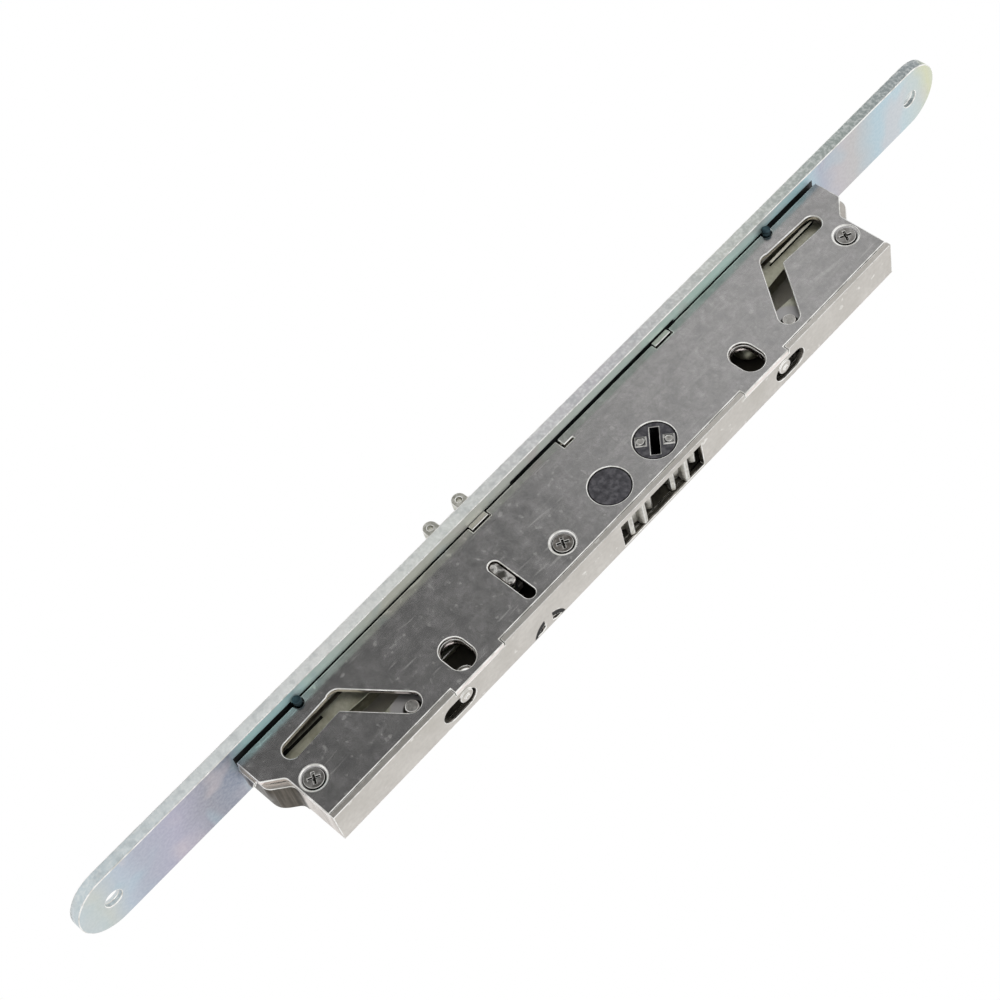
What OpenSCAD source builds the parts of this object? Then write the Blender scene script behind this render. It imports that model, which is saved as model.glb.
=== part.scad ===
// Two-point mortise lock for a sliding patio door.
// Millimetres. X runs from the faceplate's front face into the door, Y across the door's thickness
// with the cover on the -Y side, and Z up along the lock. The origin is on the faceplate's front
// face, midway between its two fixing screws. Drawn unlocked, with both hooks inside the case.

/* [Faceplate] */
// How far the faceplate reaches past the case at each end
faceplate_over = 48.1; // [40:0.1:60]
// Width of the faceplate
faceplate_w = 18.8; // [17:0.1:24]
// Thickness of the faceplate
faceplate_t = 3.2; // [2.6:0.1:3.6]
// Distance of a fixing screw hole from the faceplate's end
fixing_inset = 9.5; // [9:0.1:20]
// Radius of a fixing screw hole
fixing_r = 2.3; // [1.8:0.1:3]
// Radius of the countersink at the front of a fixing hole
fixing_sink_r = 4.2; // [3.4:0.1:5]

/* [Case] */
// Thickness of the whole case across the door
case_t = 11.6; // [11.2:0.1:13]
// Distance from the faceplate's front face to the rear wall's outer face
case_depth = 31.1; // [31:0.1:34]
// Distance from an end screw to the end of the case's rear part
case_end_gap = 4; // [3.8:0.1:8]
// Height of the step from the rear part to the end block at each end
end_step = 4.6; // [3:0.1:6]
// Depth at which the long end blocks stop
end_block_x = 11.8; // [10:0.1:13]
// Depth at which the shorter rear part starts
rear_part_x = 15.8; // [15:0.1:17]
// Sheet thickness of cover and housing
sheet_t = 1.5; // [1.2:0.1:1.6]
// Radius of the long bend at the foot of the rear wall
bend_r = 1.2; // [0.6:0.1:1.4]
// Outer radius of the two corners next to the faceplate
corner_r = 2.8; // [2.2:0.1:3.4]
// How much further back the tray's ends step in than the cover's ends do
tray_step = 1.9; // [1:0.1:2]
// Radius of the tray's bend between floor and end block
end_bend_r = 2.4; // [1:0.1:2.6]

/* [Handle and drive] */
// Distance between the two handle screws
handle_span = 100; // [96:1:102]
// Distance of the handle screws from the case's rear face
handle_inset = 6.6; // [6.5:0.1:8]
// Length of a handle screw's slotted hole
handle_slot_l = 9.4; // [7:0.1:10]
// Width of a handle screw's slotted hole
handle_slot_w = 6.6; // [5:0.1:7]
// Radius of a handle screw's round hole in the floor
handle_screw_r = 2.25; // [2:0.05:2.6]
// Distance of the hub's centre from the case's rear face
hub_inset = 8.7; // [8.6:0.1:9.4]
// Height of the hub's centre above the middle of the lock
hub_z = 19.3; // [18:0.1:21]
// Length of the tailpiece slot through the hub
tail_slot_l = 7.6; // [6:0.1:8]
// Width of the tailpiece slot through the hub
tail_slot_w = 2.2; // [1.6:0.1:2.6]
// Tilt of the tailpiece slot from level
tail_slot_tilt = 45; // [30:1:60]
// Radius of the hub's and the idler's bearing holes
bearing_r = 5.25; // [4.8:0.05:5.4]

/* [Gears] */
// Teeth on the hub gear and on the idler gear
gear_teeth = 12; // [12:1:12]
// Module of the gear teeth
gear_module = 1.31; // [1.29:0.01:1.32]
// Height of a tooth above the pitch circle, in modules
tooth_addendum = 0.66; // [0.6:0.01:0.68]
// Depth of a tooth below the pitch circle, in modules
tooth_dedendum = 1.05; // [1:0.01:1.1]
// Pressure angle of the teeth
pressure_angle = 20; // [20:0.5:22]
// Turn of the hub gear's first tooth from the rear
gear_phase = 4; // [0:1:6]
// Free play between two teeth, measured on the pitch circle
backlash = 0.24; // [0.16:0.01:0.34]
// Turn of the hub from unlocked to locked
hub_travel = 180; // [160:1:180]

/* [Slides] */
// Sheet thickness of the rack slides
slide_t = 1.6; // [1.2:0.1:1.8]
// Depth of the slides' front edge
slide_front_x = 6.2; // [5.8:0.1:7]
// How far a slide's wide arm reaches behind the hook's pivot
slide_arm_over = 0.45; // [0:0.05:0.8]
// Radius of the round end of a slide, round the hook's pivot
slide_eye_r = 4.3; // [4:0.1:4.4]

/* [Hooks] */
// Distance of a hook's pivot from the case's rear face
pivot_inset = 12.95; // [12.5:0.05:13.5]
// Distance of a hook's pivot beyond the handle screw, unlocked
pivot_rise = 6.8; // [6.4:0.1:9]
// Radius of a pivot pin
pivot_r = 2; // [1.6:0.1:2.2]
// Radius of a guide pin
guide_r = 1.65; // [1.3:0.05:1.8]
// Reach of a hook from its pivot to its outer face
hook_reach = 37; // [33:0.5:37.5]
// Height of the hook's nose above its pivot, locked
hook_nose_h = 8.4; // [7.6:0.1:8.6]
// Thickness of the nose along the hook's reach
hook_nose_t = 5.4; // [4:0.1:6]
// Width of the hook's arm
hook_arm_w = 5.2; // [4.4:0.1:5.6]

/* [Bent slots] */
// Distance of the guide pin behind the pivot unlocked, and in front of it locked
guide_out = 6.45; // [6.2:0.05:6.7]
// Distance of the guide pin beyond the pivot
guide_rise = 8.5; // [8.3:0.1:8.7]
// Distance of the slot's bend in front of its straight leg's end
slot_bend_out = 0.7; // [0.4:0.1:1]
// Distance of the slot's bend beyond the slot's rear end
slot_bend_rise = 9.9; // [9.4:0.1:10.6]
// Width of the slanted leg
slot_slant_w = 5.2; // [4.8:0.1:5.6]
// Width of the straight leg
slot_straight_w = 4.7; // [4.4:0.1:5.2]

/* [Cover screws] */
// How far an unlocked hook reaches past the end screws
hook_past_screw = 2; // [1.2:0.1:2.2]
// Distance of the two end screws from the case's rear face
end_screw_inset = 10.5; // [8:0.1:11]
// Distance of the middle screw below the middle of the lock
mid_screw_z = 14.3; // [13.5:0.1:15.5]
// Distance of the middle screw from the case's rear face
mid_screw_inset = 7.1; // [6:0.1:8]
// Radius of a screw head
screw_head_r = 2.45; // [2.2:0.05:2.6]
// Radius of the round recess in which a screw head sits
screw_sink_r = 3.2; // [2.8:0.05:3.4]
// Radius of a screw's thread
screw_r = 1.15; // [0.9:0.05:1.3]
// Length of a screw
screw_l = 6.5; // [5:0.1:8]
// Radius of the round posts that the screws enter
post_r = 2.3; // [2:0.05:2.5]

/* [Anti-slam plunger] */
// Distance of the plunger's lower ear below the middle of the lock
plunger_low_z = 28.9; // [28:0.1:30]
// Distance between the plunger's two ears
plunger_ear_span = 9.8; // [9:0.1:11]
// Radius of an ear
plunger_ear_r = 1.95; // [1.7:0.05:2.1]
// Radius of the small hole through an ear
plunger_eye_r = 0.75; // [0.5:0.05:0.9]
// Distance of the ears' centres in front of the faceplate
plunger_out = 6; // [5.6:0.1:6.4]
// Thickness of the plunger
plunger_t = 3; // [2.6:0.1:3.6]
// Travel of the plunger when pushed in
plunger_travel = 6; // [4:0.1:6]
// Width of the stud's slot in the cover
stud_slot_w = 3; // [2.6:0.1:3.2]
// Distance of the stud's slot from the case's rear face
stud_slot_inset = 2.9; // [2.4:0.1:3.2]
// Length of the stud's slot
stud_slot_l = 14; // [13.4:0.1:14.2]
// Wire thickness of the return spring
spring_wire = 0.45; // [0.3:0.05:0.5]
// Mean radius of the return spring
spring_r = 1.15; // [1:0.05:1.25]
// Turns of the return spring
spring_turns = 8; // [5:1:9]

/* [Small openings] */
// Gap between the gears' teeth and the ends of the window in the rear wall
window_gap = 1.22; // [0.8:0.02:2]
// Length of an oval opening in the rear wall
oval_l = 10.2; // [9:0.1:11]
// Width of an oval opening in the rear wall
oval_w = 5.6; // [5:0.1:6]
// Distance of the oval openings beyond the handle screws
oval_rise = 7.4; // [7:0.1:8]
// Distance of the locating pins from the ends of the case
dowel_inset = 19.15; // [18.4:0.05:19.6]
// Radius of a locating pin
dowel_r = 1.1; // [0.9:0.05:1.2]
// Length of a locating pin
dowel_l = 4.7; // [4:0.1:4.8]

/* [Hidden] */
$fn = 64;

// Clearances
seat_gap = 0.2;
slide_gap = 0.3;
run_gap = 0.05;
bearing_gap = 0.08;
press_gap = 0.02;
cut = 1;

// Hair by which arcs and straight sides cross, instead of touching at a point
ease = 0.006;

// Places along the lock, each from the one before it
pivot_z = handle_span / 2 + pivot_rise;
end_screw_z = pivot_z + hook_reach - hook_past_screw;
case_rear_l = 2 * (end_screw_z + case_end_gap);
case_l = case_rear_l + 2 * end_step;
faceplate_l = case_l + 2 * faceplate_over;
fixing_span = faceplate_l - 2 * fixing_inset;
oval_z = handle_span / 2 + oval_rise;
dowel_z = case_l / 2 - dowel_inset;

// Places into the door, from the case's rear face
handle_x = case_depth - handle_inset;
hub_x = case_depth - hub_inset;
pivot_x = case_depth - pivot_inset;
slide_arm_x = pivot_x + slide_arm_over;
end_screw_x = case_depth - end_screw_inset;
mid_screw_x = case_depth - mid_screw_inset;
stud_slot_x = case_depth - stud_slot_inset - stud_slot_l;

// Levels across the door, from the cover at the front of Y to the housing's floor
cover_y = -case_t / 2;
cover_in_y = cover_y + sheet_t;
floor_y = case_t / 2;
floor_in_y = floor_y - sheet_t;
front_slide_y = cover_in_y + slide_gap;
hook_y = front_slide_y + slide_t + slide_gap;
hook_t = -2 * hook_y;

// Levels into the door
front_x = faceplate_t + seat_gap;
front_in_x = front_x + sheet_t;
rear_in_x = case_depth - sheet_t;
edge_gap = 0.4;
edge_step = 0.8;
dowel_x = front_x + dowel_r;
dowel_y = cover_y - 1.6;

// Slanted step at each end of the case
step_turn = atan2(case_l / 2 - case_rear_l / 2, rear_part_x - end_block_x);
step_shift = sheet_t * tan(step_turn / 2);

// Gear sizes
pitch_r = gear_module * gear_teeth / 2;
tip_r = pitch_r + tooth_addendum * gear_module;
root_r = pitch_r - tooth_dedendum * gear_module;
base_r = pitch_r * cos(pressure_angle);
tooth_turn = 360 / gear_teeth;
idler_z = hub_z - 2 * pitch_r;
journal_r = bearing_r - bearing_gap;
rack_pitch = PI * gear_module;
rack_x = hub_x - pitch_r;
stroke = pitch_r * hub_travel * PI / 180;
flank_steps = 5;

// Rack teeth, numbered from the gear's own pitch point
upper_rack_from = -6;
upper_rack_to = 1;
lower_rack_from = -1;
lower_rack_to = 6;

// Hook geometry, from the two places of the guide pin
hook_swing = 2 * atan(guide_out / guide_rise);
slot_start_x = pivot_x + guide_out;
slot_start_z = pivot_z + guide_rise;
slot_end_x = pivot_x - guide_out;
slot_end_z = slot_start_z + stroke;
slot_bend_x = slot_end_x - slot_bend_out;
slot_bend_z = slot_start_z + slot_bend_rise;
hook_window_low = pivot_z + 5;
hook_window_high = case_l / 2 - sheet_t - 0.8;
hook_window_w = hook_t + 2 * slide_gap;
hook_eye_r = slide_eye_r + 0.2;
guide_eye_r = guide_r + 1.35;

// Plunger sizes
plunger_top_z = plunger_ear_span - plunger_low_z + 2.6;
plunger_bottom_z = -plunger_low_z - 2.6;
stud_z = -plunger_low_z + 0.3;
stud_tip_x = stud_slot_x + stud_slot_l - slide_gap - plunger_travel;
stud_r = stud_slot_w / 2 - slide_gap;
foot_x = stud_slot_x + 1.6;
foot_t = 1.2;
spring_y = floor_in_y - 2 * slide_gap - spring_wire / 2 - spring_r;

// Window and openings
window_z = (hub_z + idler_z) / 2;
window_l = 2 * (pitch_r + sqrt(pow(tip_r, 2) - pow(rear_in_x - hub_x, 2)) + window_gap);
notch_low = handle_span / 2 - 8.6;
notch_high = handle_span / 2 + 7.5;
stop_z = handle_span / 2 + 5.2;
stop_y = cover_y + 4.2;
stop_r = 1.9;
stop_proud = 0.4;

// Plate drawn in X and Z and given its thickness along Y
module plate(from_y, to_y) {
    translate([0, to_y, 0])
        rotate([90, 0, 0])
            linear_extrude(height = to_y - from_y)
                children();
}

// Round bar along Y
module bar_y(x, z, r, from_y, to_y) {
    translate([x, to_y, z])
        rotate([90, 0, 0])
            cylinder(r = r, h = to_y - from_y);
}

// Flat strip with round ends, drawn from one point to another. Its sides lie a hair inside
// the two circles, so that they meet at a clear corner.
module strip(from, to, w) {
    run = norm(to - from);
    translate(from) circle(r = w / 2);
    translate(to) circle(r = w / 2);
    translate(from)
        rotate(atan2(to[1] - from[1], to[0] - from[0]))
            translate([0, ease - w / 2])
                square([run, w - 2 * ease]);
}

// Block given by two opposite corners
module block(low, high) {
    translate(low) cube(high - low);
}

// Upper piece and its mirror image below the middle of the lock
module lower() {
    mirror([0, 0, 1]) children();
}
module both() {
    children();
    lower() children();
}

// Outline of cover or tray in X and Z, drawn in from its edge by the given amount. Its step at
// each end can stand further back, and has one outer and one inner radius.
module case_outline(inset, back, out_r, in_r) {
    shift = inset * tan(step_turn / 2);
    x_low = front_x + inset;
    x_high = case_depth - inset;
    z_front = case_l / 2 - inset;
    z_rear = case_rear_l / 2 - inset;
    x_out = end_block_x + back - shift;
    x_in = rear_part_x + back - shift;
    difference() {
        union() {
            polygon([[x_low, -z_front], [x_out, -z_front], [x_in, -z_rear],
                [x_high, -z_rear], [x_high, z_rear], [x_in, z_rear], [x_out, z_front], [x_low, z_front]]);
            for (side = [-1, 1])
                scale([1, side]) translate([x_in, z_rear]) inner_corner(in_r + inset);
        }
        for (side = [-1, 1])
            scale([1, side]) translate([x_out, z_front]) outer_corner(out_r - inset);
    }
}

// What rounds the step's outer corner off, and what fills its inner corner
module outer_corner(r) {
    t = r * tan(step_turn / 2);
    difference() {
        polygon([[-t, 2 * ease], [2 * ease, 2 * ease], [t * cos(step_turn) + 2 * ease, -t * sin(step_turn)], [-t, -r]]);
        translate([-t, -r]) circle(r = r + ease);
    }
}
module inner_corner(r) {
    t = r * tan(step_turn / 2);
    difference() {
        polygon([[-t * cos(step_turn) - 2 * ease, t * sin(step_turn) - 2 * ease], [-2 * ease, -2 * ease],
            [t, -2 * ease], [t, r]]);
        translate([t, r]) circle(r = r + ease);
    }
}

// The tray's outline, with its two front corners rounded, where the walls are folded
module tray_outline(inset) {
    r = corner_r - inset;
    x = front_x + inset;
    difference() {
        case_outline(inset, tray_step, 3, 2.4);
        for (side = [-1, 1])
            scale([1, side]) translate([x, case_l / 2 - inset]) difference() {
                translate([-cut, -r]) square([r + cut, r + cut]);
                translate([r, -r]) circle(r = r);
            }
    }
}

// Bent slot that the hook's guide pin follows, upper one
module bent_slot() {
    strip([slot_start_x, slot_start_z], [slot_bend_x, slot_bend_z], slot_slant_w);
    strip([slot_bend_x, slot_bend_z], [slot_end_x, slot_end_z], slot_straight_w);
}

// Bearing holes of both gears
module bearing_holes(from_y, to_y) {
    bar_y(hub_x, hub_z, bearing_r, from_y, to_y);
    bar_y(hub_x, idler_z, bearing_r, from_y, to_y);
}

// Slotted hole of a handle screw, upper one, grown all round by the given amount
module handle_slot(grow) {
    half = (handle_slot_l - handle_slot_w) / 2;
    strip([handle_x - half, handle_span / 2], [handle_x + half, handle_span / 2], handle_slot_w + 2 * grow);
}

// Long plate with round ends that is screwed to the edge of the door
module faceplate() {
    end_z = faceplate_l / 2 - faceplate_w / 2;
    color("lightsteelblue") difference() {
        union() {
            block([0, -faceplate_w / 2, -end_z], [faceplate_t, faceplate_w / 2, end_z]);
            for (side = [-1, 1])
                translate([0, 0, side * end_z]) rotate([0, 90, 0])
                    cylinder(r = faceplate_w / 2, h = faceplate_t);
        }
        for (side = [-1, 1])
            translate([0, 0, side * fixing_span / 2]) fixing_hole();
        both() slot_through(hook_window_low, case_l / 2, hook_window_w);
        plunger_window(-cut, faceplate_t + cut);
    }
}

// Countersunk hole for one fixing screw
module fixing_hole() {
    sink = fixing_sink_r - fixing_r;
    rotate([0, 90, 0]) translate([0, 0, -cut]) cylinder(r = fixing_r, h = faceplate_t + 2 * cut);
    rotate([0, 90, 0]) cylinder(r1 = fixing_sink_r, r2 = fixing_r, h = sink);
    rotate([0, 90, 0]) translate([0, 0, -cut]) cylinder(r = fixing_sink_r, h = cut);
}

// Long opening with round ends through the faceplate
module slot_through(low_z, high_z, w) {
    block([-cut, -w / 2, low_z + w / 2], [faceplate_t + cut, w / 2, high_z - w / 2]);
    for (z = [low_z + w / 2, high_z - w / 2])
        translate([-cut, 0, z]) rotate([0, 90, 0]) cylinder(r = w / 2, h = faceplate_t + 2 * cut);
}

// Opening that the anti-slam plunger slides through
module plunger_window(from_x, to_x) {
    half_w = plunger_t / 2 + slide_gap;
    block([from_x, -half_w, plunger_bottom_z - slide_gap], [to_x, half_w, plunger_top_z + slide_gap]);
}

// Tray of folded sheet: floor, rear wall, two ends and front wall
module case_housing() {
    color("gainsboro") difference() {
        union() {
            difference() {
                plate(cover_in_y, floor_y) tray_outline(0);
                plate(cover_in_y - cut, floor_in_y) tray_outline(sheet_t);
            }
            block([rear_in_x, cover_y, -case_rear_l / 2], [case_depth, cover_in_y, case_rear_l / 2]);
            front_tabs();
            front_bend();
            both() end_flap();
        }
        bearing_holes(floor_in_y - cut, floor_y + cut);
        both() bar_y(handle_x, handle_span / 2, handle_screw_r, floor_in_y - cut, floor_y + cut);
        both() front_hook_window();
        both() bar_y(dowel_x, dowel_z, dowel_r + press_gap, cover_y - cut, dowel_y + dowel_l + press_gap);
        plunger_window(front_x - cut, front_in_x + cut);
        gear_window();
        both() rear_oval();
        both() block([rear_in_x - cut, cover_y - cut, notch_low], [case_depth + cut, cover_in_y, notch_high]);
        spring_notch();
        rear_bend();
        both() end_bends();
    }
    color("gainsboro") both() rear_stop();
}

// Round stop left standing at the edge of an oval opening, upper one
module rear_stop() {
    translate([rear_in_x, stop_y, stop_z]) rotate([0, 90, 0]) cylinder(r = stop_r, h = sheet_t + stop_proud);
    translate([rear_in_x, stop_y, stop_z]) rotate([0, 90, 0]) cylinder(r = 0.7, h = sheet_t + 2 * stop_proud);
}

// Tabs on the front wall's edge, which stand in notches of the cover
tab_heights = [-21.9, 42.3];
tab_l = 5.4;
module front_tabs() {
    for (z = tab_heights)
        block([front_x, cover_y + 0.1, z - tab_l / 2], [front_in_x, cover_in_y, z + tab_l / 2]);
}

// Opening in the front wall for a hook, upper one
module front_hook_window() {
    block([front_x - cut, -hook_window_w / 2, hook_window_low - 1],
        [front_in_x + cut, hook_window_w / 2, hook_window_high + 0.4]);
}

// Window in the rear wall, over the teeth of both gears
module gear_window() {
    block([rear_in_x - cut, front_slide_y - 0.15, window_z - window_l / 2],
        [case_depth + cut, -front_slide_y + 0.2, window_z + window_l / 2]);
}

// Oval opening in the rear wall behind a handle screw
module rear_oval() {
    for (z = [oval_z - oval_l / 2 + oval_w / 2, oval_z + oval_l / 2 - oval_w / 2])
        translate([rear_in_x - cut, 0.3, z]) rotate([0, 90, 0])
            cylinder(r = oval_w / 2, h = sheet_t + 2 * cut);
    block([rear_in_x - cut, 0.3 - oval_w / 2, oval_z - oval_l / 2 + oval_w / 2],
        [case_depth + cut, 0.3 + oval_w / 2, oval_z + oval_l / 2 - oval_w / 2]);
}

// Two curved slits at the foot of the rear wall, round the tongue on which the return spring
// presses. A web at the top of the tongue parts them.
notch_r = 4.85;
notch_gap = 1.1;
notch_web = 2.6;
module spring_notch() {
    long = sheet_t + 2 * cut;
    from_x = rear_in_x - 2 * cut;
    to_x = case_depth + 2 * cut;
    difference() {
        translate([rear_in_x - cut, floor_y + sheet_t, stud_z]) rotate([0, 90, 0]) difference() {
            cylinder(r = notch_r, h = long);
            translate([0, 0, -cut]) cylinder(r = notch_r - notch_gap, h = long + 2 * cut);
        }
        block([from_x, 0, stud_z - notch_web / 2], [to_x, floor_y, stud_z + notch_web / 2]);
        block([from_x, floor_in_y, stud_z - 2 * notch_r], [to_x, 3 * floor_y, stud_z + 2 * notch_r]);
    }
}

// Round outer edge where the rear wall is folded up from the floor
module rear_bend() {
    long = case_rear_l + 2 * cut;
    difference() {
        block([case_depth - bend_r, floor_y - bend_r, -long / 2],
            [case_depth + cut, floor_y + cut, long / 2]);
        translate([case_depth - bend_r, floor_y - bend_r, -long / 2]) cylinder(r = bend_r, h = long);
    }
}

// Round inner bend between the front wall and the floor
inner_bend_r = 1.2;
module front_bend() {
    long = case_l - 2 * corner_r;
    difference() {
        block([front_in_x - 0.2, floor_in_y - inner_bend_r, -long / 2],
            [front_in_x + inner_bend_r, floor_in_y + 0.2, long / 2]);
        translate([front_in_x + inner_bend_r, floor_in_y - inner_bend_r, -long / 2 - cut])
            cylinder(r = inner_bend_r, h = long + 2 * cut);
    }
}

// Flap of the front wall, folded round the end and lying on the end wall, upper one
flap_t = 0.6;
flap_low_x = 7.4;
flap_high_x = 10.4;
flap_low_y = 2;
module end_flap() {
    intersection() {
        plate(cover_in_y, flap_low_y + 1.4) intersection() {
            difference() {
                tray_outline(-flap_t);
                tray_outline(sheet_t / 2);
            }
            translate([front_x, case_l / 2 - 4]) square([flap_high_x - front_x, 4 + flap_t]);
        }
        translate([0, 0, case_l / 2 - 5]) linear_extrude(height = 6)
            polygon([[front_x, cover_in_y], [flap_high_x, cover_in_y], [flap_low_x, flap_low_y],
                [flap_low_x - 1.2, flap_low_y + 1], [front_x, flap_low_y + 1.4]]);
    }
}

// Round outer bends between the floor and the two parts of an end wall, upper one
module end_bends() {
    end_bend(front_x - cut, case_depth + cut, case_l / 2, end_bend_r);
    end_bend(rear_part_x + tray_step + 1.6, case_depth + cut, case_rear_l / 2, bend_r);
}
module end_bend(from_x, to_x, z, r) {
    difference() {
        block([from_x, floor_y - r, z - r], [to_x, floor_y + cut, z + cut]);
        translate([from_x - cut, floor_y - r, z - r]) rotate([0, 90, 0])
            cylinder(r = r, h = to_x - from_x + 2 * cut);
    }
}

// Flat lid over the mechanism, screwed to three posts
module case_cover() {
    color("dimgray") difference() {
        union() {
            plate(cover_y, cover_in_y) intersection() {
                case_outline(0, 0, 1, 1.6);
                translate([front_x + edge_gap, -case_l / 2])
                    square([rear_in_x - 0.1 - front_x - edge_gap, case_l]);
            }
            both() cover_tab();
            both() plate(cover_in_y - lip_start, cover_in_y + lip_h) handle_slot(lip_t - lip_in);
        }
        bearing_holes(cover_y - cut, cover_in_y + cut);
        both() plate(cover_y - cut, cover_in_y + cut) bent_slot();
        both() plate(cover_y - cut, cover_in_y - lip_start) handle_slot(0);
        both() plate(cover_in_y - lip_start - 0.01, cover_in_y + lip_h + cut) handle_slot(-lip_in);
        both() block([front_x - cut, cover_y - cut, dowel_z],
            [front_x + edge_step, cover_in_y + cut, case_l / 2 + cut]);
        both() bar_y(dowel_x, dowel_z, dowel_r + 0.25, cover_y - cut, cover_in_y + cut);
        tab_notches();
        middle_tab_slit();
        plate(cover_y - cut, cover_in_y + cut)
            strip([stud_slot_x + stud_slot_w / 2, stud_z], [stud_slot_x + stud_slot_l - stud_slot_w / 2, stud_z], stud_slot_w);
        at_screws() screw_sink();
    }
}

// Lip drawn inwards round a handle screw's slot, a little narrower than the slot
lip_start = 0.4;
lip_h = 1.5;
lip_t = 0.45;
lip_in = 0.2;

// Side tab of the cover in the rear wall's notch
module cover_tab() {
    block([rear_in_x - 1, cover_y, notch_low + 0.1], [case_depth, cover_in_y, notch_high - 0.1]);
}

// Notches in the cover's front edge round the housing's tabs
module tab_notches() {
    for (z = tab_heights)
        block([front_x - cut, cover_y - cut, z - tab_l / 2 - 0.3],
            [front_in_x + 0.6, cover_in_y + cut, z + tab_l / 2 + 0.3]);
}

// Narrow slit round two sides of a tab in the cover's front edge
middle_tab_z = 7.6;
module middle_tab_slit() {
    slit = 0.55;
    block([front_x - cut, cover_y - cut, middle_tab_z - 2.6],
        [front_x + 3.4, cover_in_y + cut, middle_tab_z - 2.6 + slit]);
    block([front_x + 3.4 - slit, cover_y - cut, middle_tab_z - 2.6],
        [front_x + 3.4, cover_in_y + cut, middle_tab_z + 0.8]);
}

// Places of the three cover screws
module at_upper_screw() {
    translate([end_screw_x, 0, end_screw_z]) children();
}
module at_lower_screw() {
    translate([end_screw_x, 0, -end_screw_z]) children();
}
module at_middle_screw() {
    translate([mid_screw_x, 0, -mid_screw_z]) children();
}
module at_screws() {
    at_upper_screw() children();
    at_middle_screw() children();
    at_lower_screw() children();
}

// Countersink in the cover
module screw_sink() {
    edge_r = screw_head_r + 0.15;
    translate([0, cover_y - cut, 0]) rotate([-90, 0, 0]) cylinder(r = screw_sink_r, h = cut);
    translate([0, cover_y, 0]) rotate([-90, 0, 0]) cylinder(r1 = screw_sink_r, r2 = edge_r, h = 0.5);
    translate([0, cover_y + 0.5, 0]) rotate([-90, 0, 0])
        cylinder(r1 = edge_r, r2 = screw_r + 0.3, h = sheet_t - 0.5);
    translate([0, cover_in_y - cut, 0]) rotate([-90, 0, 0]) cylinder(r = screw_r + 0.3, h = 2 * cut);
}

// Post with a tapped hole, from the floor to the cover
module cover_post() {
    color("silver") difference() {
        bar_y(0, 0, post_r, cover_in_y, floor_in_y);
        bar_y(0, 0, screw_r + press_gap, cover_in_y - cut, cover_y + screw_l + 0.5);
    }
}

// Countersunk screw with a cross recess
module cover_screw() {
    head_y = cover_y + 0.15;
    cross_w = 0.7;
    cross_l = 3;
    cross_depth = 0.8;
    color("darkgray") difference() {
        union() {
            translate([0, head_y, 0]) rotate([-90, 0, 0]) cylinder(r = screw_head_r, h = 0.3);
            translate([0, head_y + 0.3, 0]) rotate([-90, 0, 0])
                cylinder(r1 = screw_head_r, r2 = screw_r, h = sheet_t - 0.45);
            translate([0, head_y + 0.3, 0]) rotate([-90, 0, 0]) cylinder(r = screw_r, h = screw_l - 0.3);
        }
        for (turn = [30, 120])
            rotate([0, turn, 0])
                block([-cross_l / 2, head_y - cut, -cross_w / 2],
                    [cross_l / 2, head_y + cross_depth, cross_w / 2]);
    }
}

// Short pin that keys the case to the back of the faceplate
module locating_pin() {
    color("dimgray") bar_y(dowel_x, dowel_z, dowel_r, dowel_y, dowel_y + dowel_l);
}

// Point of an involute at a given radius, on the side that the sign gives
function flank_turn(r) = tan(acos(base_r / r)) * 180 / PI - acos(base_r / r);
half_tooth = (PI * gear_module / 2 - backlash) / 2 / pitch_r * 180 / PI + flank_turn(pitch_r);
function flank_r(i) = base_r + (tip_r - base_r) * i / flank_steps;
function polar(r, a) = [r * cos(a), r * sin(a)];
function tooth_points(a) = concat(
    [polar(root_r, a - half_tooth)],
    [for (i = [0 : flank_steps]) polar(flank_r(i), a - half_tooth + flank_turn(flank_r(i)))],
    [for (i = [flank_steps : -1 : 0]) polar(flank_r(i), a + half_tooth - flank_turn(flank_r(i)))],
    [polar(root_r, a + half_tooth)]);

// Outline of a whole gear, and of one of its teeth on a round core
module gear_outline(phase) {
    polygon([for (k = [0 : gear_teeth - 1]) each tooth_points(phase + k * tooth_turn)]);
}
module single_tooth(a) {
    polygon(concat([[0, 0]], tooth_points(a)));
}

// Gear wheel in two steps: all teeth between two levels, and only the named teeth beyond them
module stepped_gear(phase, full_from, full_to, part_from, part_to, part_teeth) {
    plate(full_from, full_to) gear_outline(phase);
    plate(part_from, part_to) {
        circle(r = root_r - 0.3);
        for (k = part_teeth) single_tooth(phase + k * tooth_turn);
    }
    bar_y(0, 0, journal_r, cover_y + 0.3, floor_y - 0.3);
}

// Hub gear with the tailpiece slot, turned by the handle
module hub_gear() {
    color("darkkhaki") translate([hub_x, 0, hub_z]) difference() {
        union() {
            stepped_gear(gear_phase, front_slide_y, -hook_y, -hook_y, -front_slide_y, [0, -1]);
            at_rivets() block([-pad_w / 2, cover_y + 0.15, -pad_w / 2], [pad_w / 2, cover_y + 1, pad_w / 2]);
        }
        rotate([0, tail_slot_tilt, 0])
            block([-tail_slot_l / 2, cover_y - cut, -tail_slot_w / 2],
                [tail_slot_l / 2, floor_y + cut, tail_slot_w / 2]);
        at_rivets() bar_y(0, 0, rivet_r + press_gap, cover_y - cut, floor_y + cut);
    }
}

// Two rivets through the hub, one on each side of the tailpiece slot
rivet_r = 0.85;
rivet_out = 3.3;
pad_w = 2.4;
module at_rivets() {
    for (turn = [tail_slot_tilt - 90, tail_slot_tilt + 90])
        rotate([0, turn, 0]) translate([rivet_out, 0, 0]) children();
}
module hub_rivets() {
    color("gainsboro") translate([hub_x, 0, hub_z]) at_rivets() bar_y(0, 0, rivet_r, cover_y + 0.05, floor_y - 0.1);
}

// Idler gear, which turns the other way and drives the lower slide
module idler_gear() {
    idler_phase = tooth_turn / 2 - gear_phase;
    color("darkkhaki") translate([hub_x, 0, idler_z])
        stepped_gear(idler_phase, hook_y, -front_slide_y, front_slide_y, hook_y, [0, -1]);
}

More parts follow.
